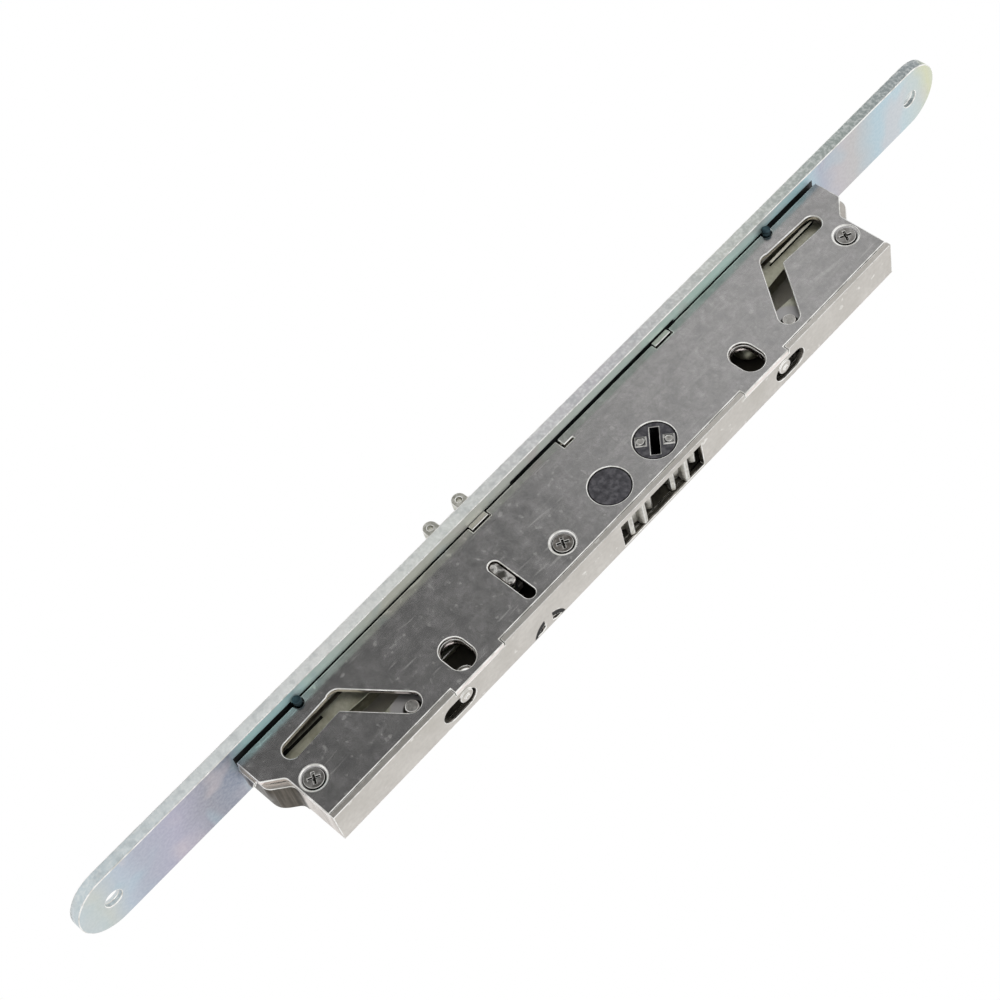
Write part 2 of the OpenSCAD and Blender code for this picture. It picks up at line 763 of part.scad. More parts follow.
// Teeth of a rack at the given numbered places
module rack_teeth(first_z, from, to) {
    add = 0.62 * gear_module;
    ded = tooth_dedendum * gear_module;
    half = rack_pitch / 4 - backlash / 4;
    lean = tan(pressure_angle);
    for (k = [from : to])
        translate([rack_x, first_z + k * rack_pitch])
            polygon([[-ded - 0.5, -half - (ded) * lean], [-ded, -half - ded * lean], [add, -half + add * lean],
                [add, half - add * lean], [-ded, half + ded * lean], [-ded - 0.5, half + ded * lean]]);
}

// Slide with a rack beside the gears and an eye at the hook's pivot, seen as the upper one
module slide_outline(rack_low, rack_high, first_z, from, to, arm_start) {
    root_x = rack_x - tooth_dedendum * gear_module - 0.2;
    rack_teeth(first_z, from, to);
    translate([slide_front_x, rack_low]) square([root_x - slide_front_x, rack_high - rack_low]);
    polygon([[slide_front_x, rack_high - 1], [root_x, rack_high - 1], [root_x, arm_start], [slide_arm_x, arm_start + 6],
        [slide_arm_x, pivot_z], [pivot_x - slide_eye_r, pivot_z], [slide_front_x, pivot_z - 10]]);
    translate([pivot_x, pivot_z]) circle(r = slide_eye_r);
}

module upper_slide() {
    first_z = hub_z + pitch_r * (tooth_turn / 2 - gear_phase) * PI / 180;
    color("tan") difference() {
        plate(front_slide_y, front_slide_y + slide_t)
            slide_outline(first_z + (upper_rack_from - 0.45) * rack_pitch, first_z + (upper_rack_to + 0.5) * rack_pitch,
                first_z, upper_rack_from, upper_rack_to, 31);
        bar_y(pivot_x, pivot_z, pivot_r + press_gap, front_slide_y - cut, 0);
    }
}

module lower_slide() {
    first_z = idler_z + pitch_r * gear_phase * PI / 180;
    color("tan") difference() {
        lower() plate(-front_slide_y - slide_t, -front_slide_y)
            slide_outline(-first_z - (lower_rack_to + 0.45) * rack_pitch, -first_z - (lower_rack_from - 0.5) * rack_pitch,
                -first_z, -lower_rack_to, -lower_rack_from, 34);
        lower() bar_y(pivot_x, pivot_z, pivot_r + press_gap, 0, -front_slide_y + cut);
    }
}

// Hook outline about its pivot, drawn locked: the arm points to -X and the nose up. A short
// second prong above the arm carries the guide pin.
module hook_outline() {
    tip = 2.2;
    low = hook_arm_w + 0.4;
    nose_x = -hook_reach + hook_nose_t;
    prong_z = guide_rise + guide_eye_r + 0.4;
    circle(r = hook_eye_r);
    polygon([[-2.6, -3.2], [0.5, 3.9], [-guide_out + 3.8, guide_rise + 1.1], [-guide_out + 0.8, prong_z],
        [-guide_out - 1.8, prong_z], [-guide_out - 6.5, guide_rise + 0.6], [-guide_out - 7.3, guide_rise - 0.3],
        [-guide_out - 7.7, guide_rise - 2.8], [-4.8, 2.4], [-10.1, -1.9], [-14, hook_arm_w - low - 0.4],
        [nose_x, 2.6], [nose_x, hook_nose_h - 1.6], [nose_x - 1.4, hook_nose_h], [-hook_reach + tip, hook_nose_h],
        [-hook_reach, hook_nose_h - tip], [-hook_reach, 0.6], [-hook_reach + 3, -0.6], [-15.4, -low]]);
    translate([-hook_reach + tip, hook_nose_h - tip]) circle(r = tip);
}

module upper_hook() {
    color("khaki") translate([pivot_x, 0, pivot_z]) rotate([0, hook_swing, 0]) difference() {
        plate(hook_y, -hook_y) hook_outline();
        bar_y(0, 0, pivot_r + run_gap, hook_y - cut, -hook_y + cut);
        bar_y(-guide_out, guide_rise, guide_r + press_gap, hook_y - cut, -hook_y + cut);
    }
}
module lower_hook() {
    lower() upper_hook();
}

// Pins: the pivot is fixed in the slide, the guide pin in the hook
module upper_pivot_pin() {
    color("silver") bar_y(pivot_x, pivot_z, pivot_r, front_slide_y, -front_slide_y);
}
module lower_pivot_pin() {
    lower() upper_pivot_pin();
}
module upper_guide_pin() {
    color("silver") bar_y(slot_start_x, slot_start_z, guide_r, front_slide_y, -front_slide_y);
}
module lower_guide_pin() {
    lower() upper_guide_pin();
}

// Anti-slam plunger: a forked nose in front of the faceplate, pressed in as the door closes
module anti_slam_plunger() {
    nose_x = 1.2 - plunger_out;
    shoulder_x = front_in_x + slide_gap;
    ear_z = [-plunger_low_z, plunger_ear_span - plunger_low_z];
    color("lightgray") difference() {
        union() {
            plate(-plunger_t / 2, plunger_t / 2) {
                translate([nose_x, plunger_bottom_z])
                    square([shoulder_x + 1 - nose_x, plunger_top_z - plunger_bottom_z]);
                translate([shoulder_x, plunger_bottom_z - 1.8])
                    square([3.6, plunger_top_z - plunger_bottom_z + 3.6]);
                translate([shoulder_x, stud_z - 2.4]) square([foot_x + foot_t - shoulder_x, 4.8]);
                for (z = ear_z) {
                    translate([-plunger_out, z]) circle(r = plunger_ear_r);
                    translate([-plunger_out, z - plunger_ear_r]) square([2, 2 * plunger_ear_r]);
                }
            }
            block([foot_x, 0, stud_z - 1.6], [foot_x + foot_t, floor_in_y - slide_gap, stud_z + 1.6]);
            block([foot_x, -plunger_t / 2, stud_z - 2.4], [stud_tip_x - 0.4, 0.7, stud_z + 2.4]);
        }
        for (z = ear_z) bar_y(-plunger_out, z, plunger_eye_r, -plunger_t, plunger_t);
    }
}

// Stud on the plunger's arm, guided by the narrow slot in the cover
module anti_slam_stud() {
    color("whitesmoke") plate(cover_y + 0.5, -plunger_t / 2)
        strip([stud_slot_x + slide_gap + stud_r, stud_z], [stud_tip_x - stud_r, stud_z], 2 * stud_r);
}

// Return spring behind the plunger's arm: one round wire wound along X
spring_from_x = foot_x + foot_t + 0.1;
spring_to_x = rear_in_x - 0.1;
module anti_slam_spring() {
    rings = 10;
    sides = 6;
    steps = spring_turns * rings;
    wire = spring_wire / 2;
    run = spring_to_x - spring_from_x - 2 * wire;
    points = [for (i = [0 : steps]) let (
            a = i * 360 / rings,
            slope = atan2(run / spring_turns, 2 * PI * spring_r),
            out = [0, cos(a), sin(a)],
            side = [cos(slope), sin(slope) * sin(a), -sin(slope) * cos(a)])
        for (s = [0 : sides - 1])
            [spring_from_x + wire + run * i / steps, spring_y, stud_z] + spring_r * out
                + wire * (cos(s * 360 / sides) * out + sin(s * 360 / sides) * side)];
    skin = [for (i = [0 : steps - 1], s = [0 : sides - 1]) let (
            a = i * sides + s,
            b = i * sides + (s + 1) % sides)
        each [[a, b, b + sides], [a, b + sides, a + sides]]];
    ends = [for (s = [1 : sides - 2]) each [[0, s + 1, s], [steps * sides, steps * sides + s, steps * sides + s + 1]]];
    color("silver") polyhedron(points = points, faces = concat(skin, ends), convexity = 10);
}

faceplate();
case_housing();
case_cover();
at_upper_screw() cover_post();  // cover_post_upper
at_middle_screw() cover_post();  // cover_post_middle
at_lower_screw() cover_post();  // cover_post_lower
at_upper_screw() cover_screw();  // cover_screw_upper
at_middle_screw() cover_screw();  // cover_screw_middle
at_lower_screw() cover_screw();  // cover_screw_lower
locating_pin();  // locating_pin_upper
lower() locating_pin();  // locating_pin_lower
hub_gear();
hub_rivets();
idler_gear();
upper_slide();
lower_slide();
upper_hook();
lower_hook();
upper_pivot_pin();
lower_pivot_pin();
upper_guide_pin();
lower_guide_pin();
anti_slam_plunger();
anti_slam_stud();
anti_slam_spring();
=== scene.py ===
import math

import bpy
from mathutils import Matrix, Vector


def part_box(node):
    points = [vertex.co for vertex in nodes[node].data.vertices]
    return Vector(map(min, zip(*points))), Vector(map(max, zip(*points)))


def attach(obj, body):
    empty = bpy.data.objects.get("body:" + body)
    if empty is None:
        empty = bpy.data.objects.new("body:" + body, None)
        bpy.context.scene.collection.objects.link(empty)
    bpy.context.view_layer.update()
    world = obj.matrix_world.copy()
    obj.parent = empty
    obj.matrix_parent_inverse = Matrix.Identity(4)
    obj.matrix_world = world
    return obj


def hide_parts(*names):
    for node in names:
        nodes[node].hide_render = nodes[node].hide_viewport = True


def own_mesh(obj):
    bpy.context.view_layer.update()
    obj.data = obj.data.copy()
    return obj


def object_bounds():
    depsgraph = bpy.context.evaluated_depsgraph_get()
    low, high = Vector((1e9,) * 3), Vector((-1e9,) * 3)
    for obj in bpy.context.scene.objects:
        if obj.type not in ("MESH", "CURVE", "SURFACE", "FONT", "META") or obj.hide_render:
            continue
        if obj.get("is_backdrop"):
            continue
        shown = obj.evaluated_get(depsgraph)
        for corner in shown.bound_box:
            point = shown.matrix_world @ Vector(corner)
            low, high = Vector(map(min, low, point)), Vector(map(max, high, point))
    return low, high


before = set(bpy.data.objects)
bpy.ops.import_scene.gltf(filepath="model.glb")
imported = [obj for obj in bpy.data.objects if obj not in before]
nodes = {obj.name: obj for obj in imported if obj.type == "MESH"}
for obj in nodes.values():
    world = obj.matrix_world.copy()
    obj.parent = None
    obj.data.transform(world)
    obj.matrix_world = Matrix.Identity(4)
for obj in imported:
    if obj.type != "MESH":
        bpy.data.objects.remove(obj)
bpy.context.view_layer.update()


# Camera
# Solved from the photograph's straight edges, holes and corners. It looks at the cover and the
# rear wall from a little below, and is rolled by about 45 degrees.
camera = bpy.data.objects.new("camera", bpy.data.cameras.new("camera"))
camera.data.sensor_width = 36.0
camera.data.lens = 78.71
camera.data.clip_start = 0.01
camera.data.clip_end = 10.0
right = Vector((0.71521841, 0.17642313, 0.67626733))
up = -Vector((0.51021467, 0.52948877, -0.67773345))
back = -Vector((-0.47764382, 0.82976895, 0.28868645))
turn = Matrix((right, up, back)).transposed().to_4x4()
camera.matrix_world = Matrix.Translation((0.24597, -0.42530, -0.16073)) @ turn
bpy.context.scene.collection.objects.link(camera)
bpy.context.scene.camera = camera
bpy.context.scene.view_settings.view_transform = "Standard"


# Studio
# White surroundings at a strength of 1 light the lock from all sides, over a plain pale floor.
# A grey card, which only reflections show, is what the flat cover mirrors in the photograph.
def linear(hex_color):
    """A colour written as sRGB hex, as the linear values that Blender's sockets take."""
    out = []
    for i in (0, 2, 4):
        part = int(hex_color[i:i + 2], 16) / 255
        out.append(part / 12.92 if part <= 0.04045 else ((part + 0.055) / 1.055) ** 2.4)
    return (*out, 1.0)


def add(tree, kind, inputs=None, out=0, stops=None, **settings):
    """Adds one node with its settings and links, and gives back one of its outputs.

    An input is a number, a hex colour or another node's output. Stops are a colour ramp's."""
    node = tree.nodes.new(kind)
    for key, value in settings.items():
        setattr(node, key, value)
    for key, value in (inputs or {}).items():
        if isinstance(value, bpy.types.NodeSocket):
            tree.links.new(value, node.inputs[key])
        else:
            colored = isinstance(value, str) and node.inputs[key].type == "RGBA"
            node.inputs[key].default_value = linear(value) if colored else value
    if stops:
        node.color_ramp.elements.remove(node.color_ramp.elements[1])
    for i, (position, color) in enumerate(stops or []):
        stop = node.color_ramp.elements[0] if i == 0 else node.color_ramp.elements.new(position)
        stop.position = position
        stop.color = linear(color)
    return node.outputs[out] if len(node.outputs) else node


world = bpy.data.worlds.new("white_studio")
bpy.context.scene.world = world
world.use_nodes = True
world.node_tree.nodes["Background"].inputs["Color"].default_value = (1, 1, 1, 1)
world.node_tree.nodes["Background"].inputs["Strength"].default_value = 1.0


def stage_sheet(name, corners, material, camera_sees=False):
    """A flat sheet of the studio, given by its corners. A card shows only in reflections."""
    mesh = bpy.data.meshes.new(name)
    mesh.from_pydata(corners, [], [range(len(corners))])
    mesh.materials.append(material)
    sheet = bpy.data.objects.new(name, mesh)
    bpy.context.scene.collection.objects.link(sheet)
    if not camera_sees:
        sheet.visible_camera = False
        sheet.visible_diffuse = False
        sheet.visible_shadow = False
        sheet.visible_transmission = False
    sheet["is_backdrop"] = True


def card_corners(towards, distance, half_width, half_height):
    """Corners of a card that faces the lock from a direction, its height along the lock."""
    towards = Vector(towards).normalized()
    side = towards.cross(Vector((0, 0, 1))).normalized() * half_width
    rise = side.cross(towards).normalized() * half_height
    middle = towards * distance
    return [middle - side - rise, middle + side - rise, middle + side + rise, middle - side + rise]


floor_paint = bpy.data.materials.new("matt_white_floor")
floor_paint.use_nodes = True
floor_shader = floor_paint.node_tree.nodes["Principled BSDF"]
floor_shader.inputs["Base Color"].default_value = linear("f9f9f9")
floor_shader.inputs["Roughness"].default_value = 0.9
FLOOR_R = 1.6
FLOOR_Z = -0.21
turns = [i * math.tau / 48 for i in range(48)]
rim = [(FLOOR_R * math.cos(a), FLOOR_R * math.sin(a), FLOOR_Z) for a in turns]
stage_sheet("floor", rim, floor_paint, camera_sees=True)

# The card in front of the cover is light at its upper side and dark at its lower side.
cover_card = bpy.data.materials.new("grey_card_before_cover")
cover_card.use_nodes = True
tree = cover_card.node_tree
tree.nodes.clear()
place = add(tree, "ShaderNodeTexCoord", out="Object")
height = add(tree, "ShaderNodeSeparateXYZ", {0: place}, out="Z")
CARD_Z = (0.02, 0.42)
share = add(tree, "ShaderNodeMapRange", {"Value": height, "From Min": CARD_Z[0], "From Max": CARD_Z[1]})
grey = add(tree, "ShaderNodeValToRGB", {0: share}, stops=[
    (0.00, "888888"), (0.07, "919191"), (0.18, "959595"), (0.225, "a6a6a6"), (0.28, "989898"),
    (0.39, "9a9a9a"), (0.46, "9c9c9c"), (0.49, "e2e2e2"), (0.55, "e6e6e6"), (0.66, "dadada"),
    (0.72, "ededed"), (0.82, "f5f5f5"), (0.93, "ffffff"), (0.96, "ffffff"), (1.00, "dedede")])
glow = add(tree, "ShaderNodeEmission", {"Color": grey, "Strength": 1.0})
add(tree, "ShaderNodeOutputMaterial", {"Surface": glow})
corners = card_corners((-0.478, -0.830, 0.289), distance=0.7, half_width=0.42, half_height=0.50)
stage_sheet("card_before_cover", corners, cover_card)


# Faceplate
# Thick steel strip, zinc plated and passivated, which leaves a faint teal, lilac and straw bloom
# on its rolled faces. Its cut edges are blasted, and show as a dull, finely speckled grey.
def new_material(name):
    """An empty metal material, its shader, and the piece's own coordinates in metres."""
    material = bpy.data.materials.new(name)
    material.use_nodes = True
    tree = material.node_tree
    tree.nodes.clear()
    shader = add(tree, "ShaderNodeBsdfPrincipled", {"Metallic": 1.0})
    add(tree, "ShaderNodeOutputMaterial", {"Surface": shader})
    return material, tree, shader.node.inputs, add(tree, "ShaderNodeTexCoord", out="Object")


def relief(tree, surface, layers):
    """Fine relief from layers of a height from 0 to 1 and its depth in metres."""
    normal = None
    for value, depth in layers:
        bump = add(tree, "ShaderNodeBump", {"Height": value, "Distance": depth, "Strength": 1.0})
        if normal:
            tree.links.new(normal, bump.node.inputs["Normal"])
        normal = bump
    tree.links.new(normal, surface["Normal"])


def dress(material, *names, edge=None):
    """Gives a material to CAD nodes, and a second one to the edges that a bevel makes."""
    for name in names:
        data = nodes[name].data
        data.materials.clear()
        data.materials.append(material)
        if edge:
            data.materials.append(edge)


def soften(width, *names, edge=False):
    """Rounds the sharp edges of CAD nodes, as stamping, tumbling and plating leave them.

    Their loose triangles are welded and their flats merged first."""
    for name in names:
        weld = nodes[name].modifiers.new("weld", "WELD")
        weld.merge_threshold = 0.000012
        merge = nodes[name].modifiers.new("merge_flats", "DECIMATE")
        merge.decimate_type = "DISSOLVE"
        merge.angle_limit = math.radians(0.6)
        round_edges = nodes[name].modifiers.new("round_edges", "BEVEL")
        round_edges.width = width
        round_edges.segments = 2
        round_edges.limit_method = "ANGLE"
        round_edges.angle_limit = math.radians(35)
        round_edges.use_clamp_overlap = False
        round_edges.harden_normals = True
        round_edges.material = 1 if edge else -1


def in_box(tree, place, low, high):
    """A mask that is 1 inside a box, given by its corners in metres, and 0 outside it."""
    middle = [(a + b) / 2 for a, b in zip(low, high)]
    half = [(b - a) / 2 for a, b in zip(low, high)]
    away = add(tree, "ShaderNodeVectorMath", {0: place, 1: middle}, operation="SUBTRACT")
    away = add(tree, "ShaderNodeVectorMath", {0: away}, operation="ABSOLUTE")
    away = add(tree, "ShaderNodeVectorMath", {0: away, 1: half}, operation="DIVIDE")
    away = add(tree, "ShaderNodeSeparateXYZ", {0: away}).node.outputs
    far = add(tree, "ShaderNodeMath", {0: away[0], 1: away[1]}, operation="MAXIMUM")
    far = add(tree, "ShaderNodeMath", {0: far, 1: away[2]}, operation="MAXIMUM")
    return add(tree, "ShaderNodeMath", {0: far, 1: 1.0}, operation="LESS_THAN")


# One colour laid over another by a mask is a Mix node with these settings.
LAYER = {"data_type": "RGBA", "out": 2}
PLATE_END = 0.150
PLATE_REAR = (0.0012, 0.0050)
CASE_END = 0.1003
zinc, tree, surface, place = new_material("passivated_zinc_plate")
axes = add(tree, "ShaderNodeSeparateXYZ", {0: place}).node.outputs
normal = add(tree, "ShaderNodeTexCoord", out="Normal")
facing_y = add(tree, "ShaderNodeSeparateXYZ", {0: normal}, out="Y")
facing_y = add(tree, "ShaderNodeMath", {0: facing_y}, operation="ABSOLUTE")
on_edge = add(tree, "ShaderNodeMapRange", {"Value": facing_y, "From Min": 0.55, "From Max": 0.85})
# The bloom drifts in bands along the strip, whose borders wander by some 6 mm. A noise of scale
# 0.5 / W has spots about W metres wide, here and below.
wander = add(tree, "ShaderNodeMapping", {"Vector": place, "Scale": (1.0, 1.0, 0.6)})
wander = add(tree, "ShaderNodeTexNoise", {"Vector": wander, "Scale": 0.5 / 0.009, "Detail": 2.0,
                                          "Distortion": 0.4})
wander = add(tree, "ShaderNodeMapRange", {"Value": wander, "To Min": -0.006, "To Max": 0.006})
drift = add(tree, "ShaderNodeMath", {0: axes["Z"], 1: wander}, operation="ADD")
drift = add(tree, "ShaderNodeMapRange", {"Value": drift, "From Min": -PLATE_END, "From Max": PLATE_END})
bloom = add(tree, "ShaderNodeValToRGB", {0: drift}, stops=[
    (0.00, "c6d0d4"), (0.025, "c9cec9"), (0.05, "b9c4d0"), (0.067, "b0b4c2"), (0.10, "b2b0c2"),
    (0.133, "9a9ba6"), (0.16, "8d95a6"), (0.18, "bfe6e6"), (0.225, "c9eef0"), (0.24, "d4ece6"),
    (0.33, "dadccf"), (0.50, "dde2da"), (0.70, "d4f1e7"), (0.76, "d4f0ea"), (0.775, "c9eef0"),
    (0.82, "bce2ea"), (0.85, "b0b6c4"), (0.87, "c2bec2"), (0.89, "c2c0c0"), (0.917, "b6ccd6"),
    (0.95, "bfd2da"), (0.973, "c9d3d0"), (0.985, "d6d8ba"), (1.00, "cfd9d6")])
patch = add(tree, "ShaderNodeMapping", {"Vector": place, "Scale": (1.0, 0.6, 0.8)})
patch = add(tree, "ShaderNodeTexNoise", {"Vector": patch, "Scale": 0.5 / 0.006, "Detail": 1.0,
                                         "Distortion": 0.8})
pink = add(tree, "ShaderNodeMapRange", {"Value": patch, "From Min": 0.52, "From Max": 0.72,
                                        "To Max": 0.40}, interpolation_type="SMOOTHSTEP")
blue = add(tree, "ShaderNodeMapRange", {"Value": patch, "From Min": 0.40, "From Max": 0.25,
                                        "To Max": 0.32}, interpolation_type="SMOOTHSTEP")
bloom = add(tree, "ShaderNodeMix", {0: pink, 6: bloom, 7: "d8cac9"}, **LAYER)
bloom = add(tree, "ShaderNodeMix", {0: blue, 6: bloom, 7: "a6c6d2"}, **LAYER)
# The front face has been wiped and handled, and shows the bloom only faintly.
front = add(tree, "ShaderNodeMapRange", {"Value": axes["X"], "From Min": 0.0012, "From Max": 0.0006,
                                         "To Max": 0.72})
bloom = add(tree, "ShaderNodeMix", {0: front, 6: bloom, 7: "c3c9ca"}, **LAYER)
# The real grit, grain and turning marks of the lock's metals are finer than 0.2 mm. Here and below
# they are drawn 0.4 to 0.8 mm wide, so that they show in the render.
fine = add(tree, "ShaderNodeTexNoise", {"Vector": place, "Scale": 0.5 / 0.0004, "Detail": 4.0})
sheen = add(tree, "ShaderNodeMapRange", {"Value": fine, "From Min": 0.35, "From Max": 0.65,
                                         "To Max": 0.12})
bloom = add(tree, "ShaderNodeMix", {0: sheen, 6: bloom, 7: "ffffff"}, **LAYER)
# Blasting grit and shallow pits of 1 mm mark the cut edges.
grit = add(tree, "ShaderNodeTexNoise", {"Vector": place, "Scale": 0.5 / 0.0004, "Detail": 3.0})
pits = add(tree, "ShaderNodeTexNoise", {"Vector": place, "Scale": 0.5 / 0.0010, "Detail": 4.0})
level = add(tree, "ShaderNodeMapRange", {"Value": axes["Z"], "From Min": -PLATE_END,
                                         "From Max": PLATE_END})
cut_grey = add(tree, "ShaderNodeValToRGB", {0: level}, stops=[
    (0.03, "c8d3d7"), (0.13, "d5dada"), (0.27, "dadbd9"), (0.40, "d2d5d1"), (0.57, "bfbdc1"),
    (0.73, "c2c5c0"), (0.87, "98a19d"), (0.97, "90989a")])
lit = add(tree, "ShaderNodeMapRange", {"Value": grit, "From Min": 0.42, "From Max": 0.66,
                                       "To Max": 0.40})
pitted = add(tree, "ShaderNodeMapRange", {"Value": pits, "From Min": 0.50, "From Max": 0.34,
                                          "To Max": 0.25})
cut_grey = add(tree, "ShaderNodeMix", {0: lit, 6: cut_grey, 7: "eff1ef"}, **LAYER)
cut_grey = add(tree, "ShaderNodeMix", {0: pitted, 6: cut_grey, 7: "8e9698"}, **LAYER)
color = add(tree, "ShaderNodeMix", {0: on_edge, 6: bloom, 7: cut_grey}, **LAYER)
# Shade in the crevice between this plate and the case is painted near black, widest where the
# cover is cut back.
case_low, case_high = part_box("case_cover")
crevice_shade = in_box(tree, place, (PLATE_REAR[0], case_low[1] + 0.0004, -CASE_END),
                 (PLATE_REAR[1], 0.0, CASE_END))
for from_z, to_z in ((-0.0100, 0.0480), (-CASE_END, -0.0822), (0.0822, CASE_END)):
    wide = in_box(tree, place, (PLATE_REAR[0], case_low[1] - 0.0004, from_z),
                  (PLATE_REAR[1], 0.0, to_z))
    crevice_shade = add(tree, "ShaderNodeMath", {0: crevice_shade, 1: wide}, operation="MAXIMUM")
color = add(tree, "ShaderNodeMix", {0: crevice_shade, 6: color, 7: "141618"}, **LAYER)
tree.links.new(color, surface["Base Color"])
# The rear face is duller than the front face. The blasted edges and the oiled part beside the
# case are half matt.
dull = add(tree, "ShaderNodeMapRange", {"Value": axes["X"], "From Min": 0.001, "From Max": 0.0025,
                                        "To Min": 0.27, "To Max": 0.45})
dull = add(tree, "ShaderNodeMath", {0: on_edge, 1: 0.24, 2: dull}, operation="MULTIPLY_ADD")
tree.links.new(dull, surface["Roughness"])
beside_case = in_box(tree, place, (PLATE_REAR[0], -0.02, -0.1004), (PLATE_REAR[1], 0.02, 0.1004))
matt = add(tree, "ShaderNodeMath", {0: on_edge, 1: beside_case}, operation="MAXIMUM")
metal = add(tree, "ShaderNodeMapRange", {"Value": matt, "To Min": 1.0, "To Max": 0.5})
tree.links.new(metal, surface["Metallic"])
edge_pits = add(tree, "ShaderNodeMath", {0: pits, 1: on_edge}, operation="MULTIPLY")
relief(tree, surface, [(fine, 0.000006), (edge_pits, 0.00005)])

# Where plating is worn thin, on all of the lock's corners, the metal is bright, and a highlight
# is painted in as well, so that it is near white.
worn_edge_and_highlight, tree, surface, place = new_material("burnished_edge_and_painted_highlight")
rub = add(tree, "ShaderNodeTexNoise", {"Vector": place, "Scale": 0.5 / 0.0012, "Detail": 2.0})
color = add(tree, "ShaderNodeValToRGB", {0: rub}, stops=[(0.35, "d4d3ce"), (0.55, "faf9f6")])
tree.links.new(color, surface["Base Color"])
rough = add(tree, "ShaderNodeMapRange", {"Value": rub, "From Min": 0.3, "From Max": 0.7,
                                         "To Min": 0.36, "To Max": 0.22})
tree.links.new(rough, surface["Roughness"])
dress(zinc, "faceplate", edge=worn_edge_and_highlight)
soften(0.00022, "faceplate", edge=True)


# Housing
# Tray folded from bright zinc-coated sheet. Outside it is smooth and slightly warm, brushed by
# the folding tool at its ends. Inside, shade is painted dark into its colour, less round the hooks.
tray, tree, surface, place = new_material("zinc_coated_sheet")
grain = add(tree, "ShaderNodeTexNoise", {"Vector": place, "Scale": 0.5 / 0.0006, "Detail": 4.0})
cloud = add(tree, "ShaderNodeTexNoise", {"Vector": place, "Scale": 0.5 / 0.005, "Detail": 3.0})
specks = add(tree, "ShaderNodeTexNoise", {"Vector": place, "Scale": 0.5 / 0.0014, "Detail": 2.0})
outside = add(tree, "ShaderNodeValToRGB", {0: cloud},
              stops=[(0.30, "c0bcb5"), (0.50, "c7c3bd"), (0.70, "cfcbc5")])
fleck = add(tree, "ShaderNodeMapRange", {"Value": grain, "From Min": 0.38, "From Max": 0.64,
                                         "To Max": 0.30})
outside = add(tree, "ShaderNodeMix", {0: fleck, 6: outside, 7: "b8b4ae"}, **LAYER)
fleck = add(tree, "ShaderNodeMapRange", {"Value": specks, "From Min": 0.66, "From Max": 0.74,
                                         "To Max": 0.7})
outside = add(tree, "ShaderNodeMix", {0: fleck, 6: outside, 7: "f2f0ec"}, **LAYER)
# The folding tool leaves brush lines across the end walls, rubbed bright on both sides of the step.
# In the step, shade is painted dark into them.
brushed = add(tree, "ShaderNodeMapping", {"Vector": place, "Scale": (1.0, 0.05, 1.0)})
brushed = add(tree, "ShaderNodeTexNoise", {"Vector": brushed, "Scale": 0.5 / 0.0005, "Detail": 3.0})
end_wall_shade_and_tone = add(tree, "ShaderNodeValToRGB", {0: brushed}, stops=[
    (0.30, "39332c"), (0.50, "4c463d"), (0.70, "6a6359")])
end_bright = add(tree, "ShaderNodeValToRGB", {0: brushed}, stops=[
    (0.30, "b0a9a2"), (0.50, "cfc8c2"), (0.70, "ece6e1")])
STEP_START = (0.0072, 0.0066)
STEP_END = (0.0190, 0.0200)
depth = add(tree, "ShaderNodeSeparateXYZ", {0: place}, out="X")
past_step = add(tree, "ShaderNodeMapRange", {"Value": depth, "From Min": STEP_END[0],
                                             "From Max": STEP_END[1]})
by_plate = add(tree, "ShaderNodeMapRange", {"Value": depth, "From Min": STEP_START[0],
                                            "From Max": STEP_START[1]})
past_step = add(tree, "ShaderNodeMath", {0: past_step, 1: by_plate}, operation="MAXIMUM")
end_wall_shade_and_tone = add(tree, "ShaderNodeMix", {0: past_step, 6: end_wall_shade_and_tone, 7: end_bright}, **LAYER)
normal = add(tree, "ShaderNodeTexCoord", out="Normal")
facing_z = add(tree, "ShaderNodeSeparateXYZ", {0: normal}, out="Z")
facing_z = add(tree, "ShaderNodeMath", {0: facing_z}, operation="ABSOLUTE")
at_end = add(tree, "ShaderNodeMapRange", {"Value": facing_z, "From Min": 0.25, "From Max": 0.50})
outside = add(tree, "ShaderNodeMix", {0: at_end, 6: outside, 7: end_wall_shade_and_tone}, **LAYER)
# The inside is what lies deeper than half a sheet's thickness. Shade is painted dark into it, and
# less dark from where the hooks stand, some 60 mm from the middle, to its ends.
SHEET = 0.001
INNER_END = 0.0945
HOOK_ROOM = (0.0600, 0.0630)
tray_low, tray_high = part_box("case_housing")
inner_x, inner_y = case_high[0] - SHEET / 2, tray_high[1] - SHEET / 2
shaded_inside = in_box(tree, place, (case_low[0] + 0.002, case_low[1] + 0.0012, -INNER_END),
              (inner_x, inner_y, 0.0))
shaded_inside_above = in_box(tree, place, (case_low[0] + 0.0032, case_low[1] + 0.0012, 0.0),
                    (inner_x, inner_y, INNER_END))
shaded_inside = add(tree, "ShaderNodeMath", {0: shaded_inside, 1: shaded_inside_above}, operation="MAXIMUM")
# Shade in the gap beside the cover's front edge is painted near black on the front wall's top.
edge_gap_shade = in_box(tree, place, (tray_low[0] - SHEET, tray_low[1] + 0.0004, -0.097),
                  (case_low[0] + 0.0006, tray_low[1] + 0.0025, 0.097))
reach = add(tree, "ShaderNodeSeparateXYZ", {0: place}, out="Z")
reach = add(tree, "ShaderNodeMath", {0: reach}, operation="ABSOLUTE")
by_hooks = add(tree, "ShaderNodeMapRange", {"Value": reach, "From Min": HOOK_ROOM[0],
                                            "From Max": HOOK_ROOM[1]})
inside = add(tree, "ShaderNodeMix", {0: by_hooks, 6: "55524b", 7: "b5b1a7"}, **LAYER)
color = add(tree, "ShaderNodeMix", {0: shaded_inside, 6: outside, 7: inside}, **LAYER)
color = add(tree, "ShaderNodeMix", {0: edge_gap_shade, 6: color, 7: "2c2c2b"}, **LAYER)
